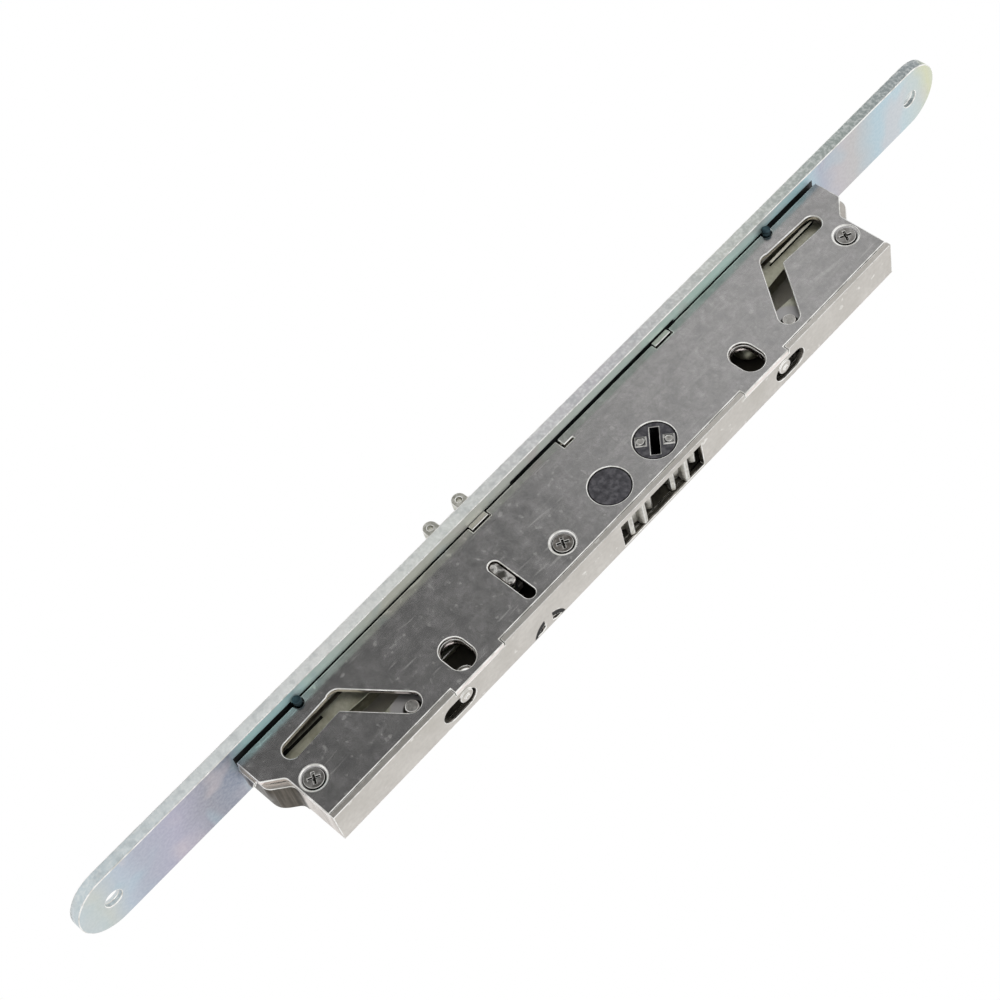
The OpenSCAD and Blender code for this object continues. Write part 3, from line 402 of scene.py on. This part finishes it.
# Shade round the two curved slits at the foot of the rear wall is painted near black, so that the
# slits look wider.
FOOT = (case_high[0], 0.0058, -0.0286)
SLIT_R = 0.0045
SLIT_SHADE_BAND = 0.0007
near_slit = add(tree, "ShaderNodeVectorMath", {0: place, 1: FOOT}, operation="DISTANCE", out="Value")
near_slit = add(tree, "ShaderNodeMath", {0: near_slit, 1: SLIT_R, 2: SLIT_SHADE_BAND}, operation="COMPARE")
for from_z, to_z in ((-0.0340, -0.0299), (-0.0273, -0.0232)):
    beside_web = in_box(tree, place, (FOOT[0] - 0.0004, FOOT[1] - 0.0060, from_z),
                        (FOOT[0] + 0.0004, FOOT[1] - 0.0012, to_z))
    slit_shade = add(tree, "ShaderNodeMath", {0: near_slit, 1: beside_web}, operation="MULTIPLY")
    color = add(tree, "ShaderNodeMix", {0: slit_shade, 6: color, 7: "12110f"}, **LAYER)
tree.links.new(color, surface["Base Color"])
rough = add(tree, "ShaderNodeMapRange", {"Value": grain, "From Min": 0.3, "From Max": 0.7,
                                         "To Min": 0.30, "To Max": 0.42})
rough = add(tree, "ShaderNodeMath", {0: shaded_inside, 1: 0.2, 2: rough}, operation="MULTIPLY_ADD")
tree.links.new(rough, surface["Roughness"])
relief(tree, surface, [(grain, 0.000008), (cloud, 0.00004)])
dress(tray, "case_housing", edge=worn_edge_and_highlight)
soften(0.00018, "case_housing", edge=True)

# The press rounds every sharp edge of the tray except inside the folds at its two ends. The tree
# marks those edges, and stands just before the bevel that reads its marks.
group = bpy.data.node_groups.new("pressed_edges", "GeometryNodeTree")
group.is_modifier = True
group.interface.new_socket("Geometry", in_out="INPUT", socket_type="NodeSocketGeometry")
group.interface.new_socket("Geometry", in_out="OUTPUT", socket_type="NodeSocketGeometry")
limits = {"Sharp Angle": math.radians(35), "Fold Start": 0.0950, "Fold Height": 0.0030}
sockets = {name: group.interface.new_socket(name, in_out="INPUT", socket_type="NodeSocketFloat")
           for name in limits}
given = group.nodes.new("NodeGroupInput").outputs
bend = add(group, "GeometryNodeInputMeshEdgeAngle")
sharp = add(group, "FunctionNodeCompare", {0: bend, 1: given["Sharp Angle"]}, operation="GREATER_THAN")
spot = add(group, "ShaderNodeSeparateXYZ", {0: add(group, "GeometryNodeInputPosition")}).node.outputs
reach = add(group, "ShaderNodeMath", {0: spot["Z"]}, operation="ABSOLUTE")
near_end = add(group, "FunctionNodeCompare", {0: reach, 1: given["Fold Start"]},
               operation="GREATER_THAN")
near_floor = add(group, "FunctionNodeCompare", {0: spot["Y"], 1: given["Fold Height"]},
                 operation="GREATER_THAN")
in_fold = add(group, "FunctionNodeBooleanMath", {0: near_end, 1: near_floor}, operation="AND")
picked = add(group, "FunctionNodeBooleanMath", {0: sharp, 1: in_fold}, operation="NIMPLY")
marked = add(group, "GeometryNodeStoreNamedAttribute",
             {"Geometry": given["Geometry"], "Name": "bevel_weight_edge", "Value": picked},
             data_type="FLOAT", domain="EDGE")
add(group, "NodeGroupOutput", {0: marked})
tray_modifiers = nodes["case_housing"].modifiers
pressed = tray_modifiers.new("pressed_edges", "NODES")
pressed.node_group = group
for name, limit in limits.items():
    pressed[sockets[name].identifier] = limit
tray_modifiers.move(len(tray_modifiers) - 1, 2)
tray_modifiers["round_edges"].limit_method = "WEIGHT"


# Cover
# Flat lid stamped from rolled steel sheet and zinc plated. Its front edge rolls off slightly from
# the shear, handling has left it mottled and scratched, and its stamped rims are rubbed bright,
# with a painted highlight.
sheet, tree, surface, place = new_material("rolled_plated_sheet")
axes = add(tree, "ShaderNodeSeparateXYZ", {0: place}).node.outputs
mottle = add(tree, "ShaderNodeTexNoise", {"Vector": place, "Scale": 0.5 / 0.0016, "Detail": 4.0,
                                          "Distortion": 0.5})
grain = add(tree, "ShaderNodeTexNoise", {"Vector": place, "Scale": 0.5 / 0.0004, "Detail": 3.0})
rolled = add(tree, "ShaderNodeMapping", {"Vector": place, "Scale": (1.0, 1.0, 0.08)})
rolled = add(tree, "ShaderNodeTexNoise", {"Vector": rolled, "Scale": 0.5 / 0.0007, "Detail": 3.0})
grey = add(tree, "ShaderNodeValToRGB", {0: mottle}, stops=[
    (0.30, "9a9999"), (0.48, "a4a3a2"), (0.60, "aba9a9"), (0.74, "b6b5b4")])
mark = add(tree, "ShaderNodeMapRange", {"Value": grain, "From Min": 0.40, "From Max": 0.66,
                                        "To Max": 0.28})
grey = add(tree, "ShaderNodeMix", {0: mark, 6: grey, 7: "838280"}, **LAYER)
mark = add(tree, "ShaderNodeMapRange", {"Value": rolled, "From Min": 0.52, "From Max": 0.72,
                                        "To Max": 0.20})
grey = add(tree, "ShaderNodeMix", {0: mark, 6: grey, 7: "c4c3c0"}, **LAYER)
# Wear grows towards the lower end: round nicks of under 1 mm, and short scratches at two slants.
worn_zone = add(tree, "ShaderNodeMapRange", {"Value": axes["Z"], "From Min": 0.02, "From Max": -0.07,
                                             "To Min": 0.25, "To Max": 1.0})
nicks = add(tree, "ShaderNodeTexNoise", {"Vector": place, "Scale": 0.5 / 0.0008, "Detail": 1.0})
nicks = add(tree, "ShaderNodeMapRange", {"Value": nicks, "From Min": 0.65, "From Max": 0.75,
                                         "To Max": 0.7})
scratches = nicks
for slant, width, low in ((38, 0.0007, 0.69), (-64, 0.0006, 0.70)):
    turned = add(tree, "ShaderNodeMapping", {"Vector": place, "Scale": (1.0, 1.0, 0.11),
                                             "Rotation": (0.0, math.radians(slant), 0.0)})
    turned = add(tree, "ShaderNodeTexNoise", {"Vector": turned, "Scale": 0.5 / width,
                                              "Detail": 1.0, "Distortion": 0.2})
    turned = add(tree, "ShaderNodeMapRange", {"Value": turned, "From Min": low, "From Max": low + 0.08,
                                              "To Max": 0.8})
    scratches = add(tree, "ShaderNodeMath", {0: scratches, 1: turned}, operation="MAXIMUM")
mark = add(tree, "ShaderNodeMath", {0: scratches, 1: worn_zone}, operation="MULTIPLY")
color = add(tree, "ShaderNodeMix", {0: mark, 6: grey, 7: "dcdbd8"}, **LAYER)
# Its sheared edges are painted bright and slightly pink, as a highlight.
cut = add(tree, "ShaderNodeTexCoord", out="Normal")
cut = add(tree, "ShaderNodeSeparateXYZ", {0: cut}, out="Y")
cut = add(tree, "ShaderNodeMath", {0: cut}, operation="ABSOLUTE")
cut = add(tree, "ShaderNodeMapRange", {"Value": cut, "From Min": 0.6, "From Max": 0.4})
color = add(tree, "ShaderNodeMix", {0: cut, 6: color, 7: "ece2de"}, **LAYER)
tree.links.new(color, surface["Base Color"])
rough = add(tree, "ShaderNodeMapRange", {"Value": mottle, "From Min": 0.3, "From Max": 0.7,
                                         "To Min": 0.18, "To Max": 0.27})
tree.links.new(rough, surface["Roughness"])
roll_off = add(tree, "ShaderNodeMapRange",
               {"Value": axes["X"], "From Min": case_low[0], "From Max": case_low[0] + 0.0030},
               interpolation_type="SMOOTHSTEP")
relief(tree, surface,
       [(roll_off, 0.00014), (mottle, 0.00003), (grain, 0.000006), (scratches, -0.000012)])
dress(sheet, "case_cover", edge=worn_edge_and_highlight)
soften(0.00028, "case_cover", edge=True)


# Hooks, slides and posts
# Stamped and tumbled steel with an olive yellow zinc finish, and turned posts of the same. It is
# cloudy in spots of 2 mm.
def from_axis(tree, place, x, z):
    """The distance from an axis along Y through this place, in metres."""
    away = add(tree, "ShaderNodeVectorMath", {0: place, 1: (x, 0.0, z)}, operation="SUBTRACT")
    away = add(tree, "ShaderNodeVectorMath", {0: away, 1: (1.0, 0.0, 1.0)}, operation="MULTIPLY")
    return add(tree, "ShaderNodeVectorMath", {0: away}, out="Value", operation="LENGTH")


yellow, tree, surface, place = new_material("yellow_zinc_steel")
cloud = add(tree, "ShaderNodeTexNoise", {"Vector": place, "Scale": 0.5 / 0.002, "Detail": 4.0})
grain = add(tree, "ShaderNodeTexNoise", {"Vector": place, "Scale": 0.5 / 0.0004, "Detail": 3.0})
olive = add(tree, "ShaderNodeValToRGB", {0: cloud},
            stops=[(0.3, "9c9c8b"), (0.5, "aeae9d"), (0.7, "c6c6b8")])
mark = add(tree, "ShaderNodeMapRange", {"Value": grain, "From Min": 0.4, "From Max": 0.65,
                                        "To Max": 0.3})
olive = add(tree, "ShaderNodeMix", {0: mark, 6: olive, 7: "84846f"}, **LAYER)
# The cover has rubbed the zinc off round the guide pins, and a dark ring of shade is painted at each
# pin.
PIN = (0.0246, 0.0653)
for side in (1, -1):
    away = from_axis(tree, place, PIN[0], side * PIN[1])
    bare = add(tree, "ShaderNodeMapRange", {"Value": away, "From Min": 0.0058, "From Max": 0.0050})
    olive = add(tree, "ShaderNodeMix", {0: bare, 6: olive, 7: "b4b3b3"}, **LAYER)
    pin_shade_ring = add(tree, "ShaderNodeMapRange", {"Value": away, "From Min": 0.0026, "From Max": 0.0023})
    olive = add(tree, "ShaderNodeMix", {0: pin_shade_ring, 6: olive, 7: "2e2d2a"}, **LAYER)
# On the faces towards the cover, light is painted pale on the upper hook's front edge, behind a
# painted shadow line. On the lower hook's front edge, shade is painted black, with one painted
# highlight line.
FACE_Y = (-0.0026, -0.0018)
painted_light_strip = in_box(tree, place, (0.0060, FACE_Y[0], 0.0770), (0.0093, FACE_Y[1], 0.0940))
olive = add(tree, "ShaderNodeMix", {0: painted_light_strip, 6: olive, 7: "fffbea"}, **LAYER)
metal = add(tree, "ShaderNodeMath", {0: 1.0, 1: painted_light_strip}, operation="SUBTRACT")
tree.links.new(metal, surface["Metallic"])
for low_x, high_x, low_z, high_z, painted_line_tone in (
        (0.0093, 0.0098, 0.0760, 0.0935, "1c1b18"), (0.0060, 0.0097, -0.0930, -0.0795, "24231f"),
        (0.0086, 0.0089, -0.0900, -0.0740, "a3a296")):
    painted_line = in_box(tree, place, (low_x, FACE_Y[0], low_z), (high_x, FACE_Y[1], high_z))
    olive = add(tree, "ShaderNodeMix", {0: painted_line, 6: olive, 7: painted_line_tone}, **LAYER)
tree.links.new(olive, surface["Base Color"])
rough = add(tree, "ShaderNodeMapRange", {"Value": cloud, "From Min": 0.3, "From Max": 0.7,
                                         "To Min": 0.36, "To Max": 0.52})
tree.links.new(rough, surface["Roughness"])
relief(tree, surface, [(grain, 0.000008), (cloud, 0.00002)])
dress(yellow, "upper_hook", "lower_hook")
dress(yellow, "upper_slide", "lower_slide", edge=worn_edge_and_highlight)
dress(yellow, "cover_post_upper", "cover_post_middle", "cover_post_lower", edge=worn_edge_and_highlight)
soften(0.00020, "upper_hook", "lower_hook")
soften(0.00020, "upper_slide", "lower_slide", edge=True)


# Gears
# Pressed and sintered steel, matt, with an even fine grain and darker pores. The hub is a shade
# darker than the blank idler, and the teeth of both are rolled bright. Their rubbed edges are painted
# bright as a highlight, and the shade in the gap round each gear is painted as a black ring of 0.5 mm
# on its rim.
BACKSET = 0.0224
BODY_R = 0.0059
RIM_R = 0.0051
for name, axis_z, tones in (("hub_gear", 0.0193, ("4b4a4e", "5a595d", "6f6e71")),
                            ("idler_gear", 0.00358, ("4e4d51", "5d5c60", "727175"))):
    sinter, tree, surface, place = new_material("sintered_steel_" + name)
    grain = add(tree, "ShaderNodeTexNoise", {"Vector": place, "Scale": 0.5 / 0.0005, "Detail": 4.0})
    face = add(tree, "ShaderNodeValToRGB", {0: grain},
               stops=[(0.34, tones[0]), (0.50, tones[1]), (0.66, tones[2])])
    radius = from_axis(tree, place, BACKSET, axis_z)
    on_tooth = add(tree, "ShaderNodeMapRange", {"Value": radius, "From Min": BODY_R - 0.0002,
                                                "From Max": BODY_R + 0.0002})
    tooth = add(tree, "ShaderNodeValToRGB", {0: grain}, stops=[(0.34, "b5b3ac"), (0.66, "dad8d1")])
    color = add(tree, "ShaderNodeMix", {0: on_tooth, 6: face, 7: tooth}, **LAYER)
    tree.links.new(color, surface["Base Color"])
    rough = add(tree, "ShaderNodeMapRange", {"Value": grain, "From Min": 0.3, "From Max": 0.7,
                                             "To Min": 0.36, "To Max": 0.50})
    tree.links.new(rough, surface["Roughness"])
    relief(tree, surface, [(grain, 0.00003)])
    rim, tree, surface, place = new_material("rubbed_edge_and_shade_ring_" + name)
    rub = add(tree, "ShaderNodeTexNoise", {"Vector": place, "Scale": 0.5 / 0.0012, "Detail": 2.0})
    rubbed_and_highlit = add(tree, "ShaderNodeValToRGB", {0: rub}, stops=[(0.35, "bab9b5"), (0.55, "e2e1dd")])
    radius = from_axis(tree, place, BACKSET, axis_z)
    # Shade in the gap round the gear is painted as a black ring on the rim.
    rim_shade_ring = add(tree, "ShaderNodeMath", {0: radius, 1: RIM_R, 2: 0.00025}, operation="COMPARE")
    color = add(tree, "ShaderNodeMix", {0: rim_shade_ring, 6: rubbed_and_highlit, 7: "151413"}, **LAYER)
    tree.links.new(color, surface["Base Color"])
    surface["Roughness"].default_value = 0.30
    dress(sinter, name, edge=rim)
soften(0.00020, "hub_gear", "idler_gear", edge=True)


# Cover screws
# Zinc-plated machine screws. The driver has rubbed their heads dull, and dirt and shade make the
# crosses nearly black.
HEADS = {"cover_screw_upper": ("787672", "8e8c89", "acaaa7"),
         "cover_screw_middle": ("68645f", "7b7773", "98948f"),
         "cover_screw_lower": ("787672", "8e8c89", "acaaa7")}
for name, tones in HEADS.items():
    low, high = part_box(name)
    plated, tree, surface, place = new_material("plated_" + name)
    turned = add(tree, "ShaderNodeTexNoise", {"Vector": place, "Scale": 0.5 / 0.0005, "Detail": 3.0})
    steel = add(tree, "ShaderNodeValToRGB", {0: turned},
                stops=[(0.3, tones[0]), (0.5, tones[1]), (0.7, tones[2])])
    depth = add(tree, "ShaderNodeSeparateXYZ", {0: place}, out="Y")
    in_cross = add(tree, "ShaderNodeMapRange", {"Value": depth, "From Min": low[1] + 0.0001,
                                                "From Max": low[1] + 0.0004})
    color = add(tree, "ShaderNodeMix", {0: in_cross, 6: steel, 7: "262523"}, **LAYER)
    tree.links.new(color, surface["Base Color"])
    rough = add(tree, "ShaderNodeMapRange", {"Value": turned, "From Min": 0.3, "From Max": 0.7,
                                             "To Min": 0.28, "To Max": 0.42})
    tree.links.new(rough, surface["Roughness"])
    relief(tree, surface, [(turned, 0.00001)])
    dress(plated, name, edge=worn_edge_and_highlight)
    soften(0.00010, name, edge=True)


# Rivets and hook pins
# Turned steel, headed over cold, bright and smooth with fine turning marks.
bright, tree, surface, place = new_material("bright_turned_steel")
turned = add(tree, "ShaderNodeTexNoise", {"Vector": place, "Scale": 0.5 / 0.0005, "Detail": 3.0})
color = add(tree, "ShaderNodeValToRGB", {0: turned},
            stops=[(0.3, "8d8b87"), (0.5, "a8a6a2"), (0.7, "c6c4c0")])
tree.links.new(color, surface["Base Color"])
rough = add(tree, "ShaderNodeMapRange", {"Value": turned, "From Min": 0.3, "From Max": 0.7,
                                         "To Min": 0.26, "To Max": 0.40})
tree.links.new(rough, surface["Roughness"])
relief(tree, surface, [(turned, 0.00001)])
dress(bright, "hub_rivets", "upper_pivot_pin", "lower_pivot_pin", edge=worn_edge_and_highlight)
dress(bright, "upper_guide_pin", "lower_guide_pin", edge=worn_edge_and_highlight)
soften(0.00012, "hub_rivets", edge=True)
soften(0.00025, "upper_guide_pin", "lower_guide_pin", edge=True)


# Anti-slam stud
# Steel stud whose upset head is dented and dirty, with bright spots of about 0.8 mm.
upset, tree, surface, place = new_material("upset_stud_steel")
dents = add(tree, "ShaderNodeTexNoise", {"Vector": place, "Scale": 0.5 / 0.0008, "Detail": 3.0,
                                         "Distortion": 0.6})
color = add(tree, "ShaderNodeValToRGB", {0: dents},
            stops=[(0.36, "55534f"), (0.47, "9a9894"), (0.58, "f2f0eb")])
tree.links.new(color, surface["Base Color"])
rough = add(tree, "ShaderNodeMapRange", {"Value": dents, "From Min": 0.3, "From Max": 0.7,
                                         "To Min": 0.45, "To Max": 0.25})
tree.links.new(rough, surface["Roughness"])
relief(tree, surface, [(dents, 0.00010)])
dress(upset, "anti_slam_stud")
soften(0.00025, "anti_slam_stud")


# Anti-slam plunger
# Zinc die casting, trimmed and tumbled, with an even satin skin that has dulled to olive grey.
cast, tree, surface, place = new_material("die_cast_zinc")
skin = add(tree, "ShaderNodeTexNoise", {"Vector": place, "Scale": 0.5 / 0.0007, "Detail": 3.0})
color = add(tree, "ShaderNodeValToRGB", {0: skin},
            stops=[(0.3, "a9a89d"), (0.5, "c4c3b9"), (0.7, "dddcd4")])
tree.links.new(color, surface["Base Color"])
rough = add(tree, "ShaderNodeMapRange", {"Value": skin, "From Min": 0.3, "From Max": 0.7,
                                         "To Min": 0.32, "To Max": 0.48})
tree.links.new(rough, surface["Roughness"])
relief(tree, surface, [(skin, 0.00002)])
dress(cast, "anti_slam_plunger", edge=worn_edge_and_highlight)
soften(0.00022, "anti_slam_plunger", edge=True)


# Locating pins
# Dark oiled steel pins, pressed between the case and the faceplate.
oiled, tree, surface, place = new_material("dark_oiled_steel")
oil = add(tree, "ShaderNodeTexNoise", {"Vector": place, "Scale": 0.5 / 0.0008, "Detail": 3.0})
color = add(tree, "ShaderNodeValToRGB", {0: oil}, stops=[(0.3, "2b3a40"), (0.7, "4c6168")])
tree.links.new(color, surface["Base Color"])
rough = add(tree, "ShaderNodeMapRange", {"Value": oil, "From Min": 0.3, "From Max": 0.7,
                                         "To Min": 0.30, "To Max": 0.45})
tree.links.new(rough, surface["Roughness"])
relief(tree, surface, [(oil, 0.00001)])
dress(oiled, "locating_pin_upper", "locating_pin_lower")
soften(0.00020, "locating_pin_upper", "locating_pin_lower")


# Return spring
# Eight turns of hard-drawn wire with closed ends, wound along the plunger's travel. Its rear end
# stays against the web in the rear wall.
low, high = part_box("anti_slam_spring")
TURNS = 8
POINTS_A_TURN = 48
WIRE_R = 0.000225
group = bpy.data.node_groups.new("wound_wire", "GeometryNodeTree")
group.is_modifier = True
group.interface.new_socket("Geometry", in_out="OUTPUT", socket_type="NodeSocketGeometry")
sizes = {"Turns": float(TURNS), "Coil Radius": (high[1] - low[1]) / 2 - WIRE_R, "Wire Radius": WIRE_R,
         "Length": high[0] - low[0] - 2 * WIRE_R}
sockets = {name: group.interface.new_socket(name, in_out="INPUT", socket_type="NodeSocketFloat")
           for name in sizes}
foot_socket = group.interface.new_socket("Foot", in_out="INPUT", socket_type="NodeSocketVector")
given = group.nodes.new("NodeGroupInput").outputs
line = add(group, "GeometryNodeCurvePrimitiveLine", {"Start": (0, 0, 0), "End": (0.01, 0, 0)})
line = add(group, "GeometryNodeResampleCurve", {"Curve": line, "Count": TURNS * POINTS_A_TURN + 1})
# The pitch eases in and out, so that the end turns lie closed.
share = add(group, "GeometryNodeSplineParameter", out="Factor")
eased = add(group, "ShaderNodeMapRange", {"Value": share}, interpolation_type="SMOOTHSTEP")
pitch = add(group, "ShaderNodeMath", {0: share, 1: eased}, operation="ADD")
pitch = add(group, "ShaderNodeMath", {0: pitch, 1: 0.5}, operation="MULTIPLY")
run = add(group, "ShaderNodeMath", {0: pitch, 1: given["Length"]}, operation="MULTIPLY")
angle = add(group, "ShaderNodeMath", {0: share, 1: given["Turns"]}, operation="MULTIPLY")
angle = add(group, "ShaderNodeMath", {0: angle, 1: math.tau}, operation="MULTIPLY")
across = add(group, "ShaderNodeMath", {0: angle}, operation="COSINE")
across = add(group, "ShaderNodeMath", {0: across, 1: given["Coil Radius"]}, operation="MULTIPLY")
upward = add(group, "ShaderNodeMath", {0: angle}, operation="SINE")
upward = add(group, "ShaderNodeMath", {0: upward, 1: given["Coil Radius"]}, operation="MULTIPLY")
helix = add(group, "ShaderNodeCombineXYZ", {"X": run, "Y": across, "Z": upward})
placed = add(group, "ShaderNodeVectorMath", {0: helix, 1: given["Foot"]}, operation="ADD")
wound = add(group, "GeometryNodeSetPosition", {"Geometry": line, "Position": placed})
profile = add(group, "GeometryNodeCurvePrimitiveCircle",
              {"Resolution": 10, "Radius": given["Wire Radius"]})
wire = add(group, "GeometryNodeCurveToMesh", {"Curve": wound, "Profile Curve": profile,
                                              "Fill Caps": True})
real = add(group, "GeometryNodeRealizeInstances", {"Geometry": wire})

drawn, tree, surface, place = new_material("drawn_spring_wire")
drawing = add(tree, "ShaderNodeTexNoise", {"Vector": place, "Scale": 0.5 / 0.0004, "Detail": 2.0})
color = add(tree, "ShaderNodeValToRGB", {0: drawing}, stops=[(0.3, "8f8d88"), (0.7, "b9b7b2")])
tree.links.new(color, surface["Base Color"])
rough = add(tree, "ShaderNodeMapRange", {"Value": drawing, "From Min": 0.3, "From Max": 0.7,
                                         "To Min": 0.22, "To Max": 0.34})
tree.links.new(rough, surface["Roughness"])

coated = add(group, "GeometryNodeSetMaterial", {"Geometry": real, "Material": drawn})
add(group, "NodeGroupOutput", {0: coated})
seed = bpy.data.objects.new("spring_seed", bpy.data.meshes.new("spring_seed"))
bpy.context.scene.collection.objects.link(seed)
winding = seed.modifiers.new("wound_wire", "NODES")
winding.node_group = group
for name, size in sizes.items():
    winding[sockets[name].identifier] = size
winding[foot_socket.identifier] = (low[0] + WIRE_R, (low[1] + high[1]) / 2, (low[2] + high[2]) / 2)
evaluated = seed.evaluated_get(bpy.context.evaluated_depsgraph_get())
coil = bpy.data.meshes.new_from_object(evaluated)
bpy.data.objects.remove(seed)
coil.name = "return_spring"
for polygon in coil.polygons:
    polygon.use_smooth = True
spring = bpy.data.objects.new("return_spring", coil)
bpy.context.scene.collection.objects.link(spring)
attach(spring, "case")
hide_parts("anti_slam_spring")
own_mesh(spring)

low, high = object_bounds()
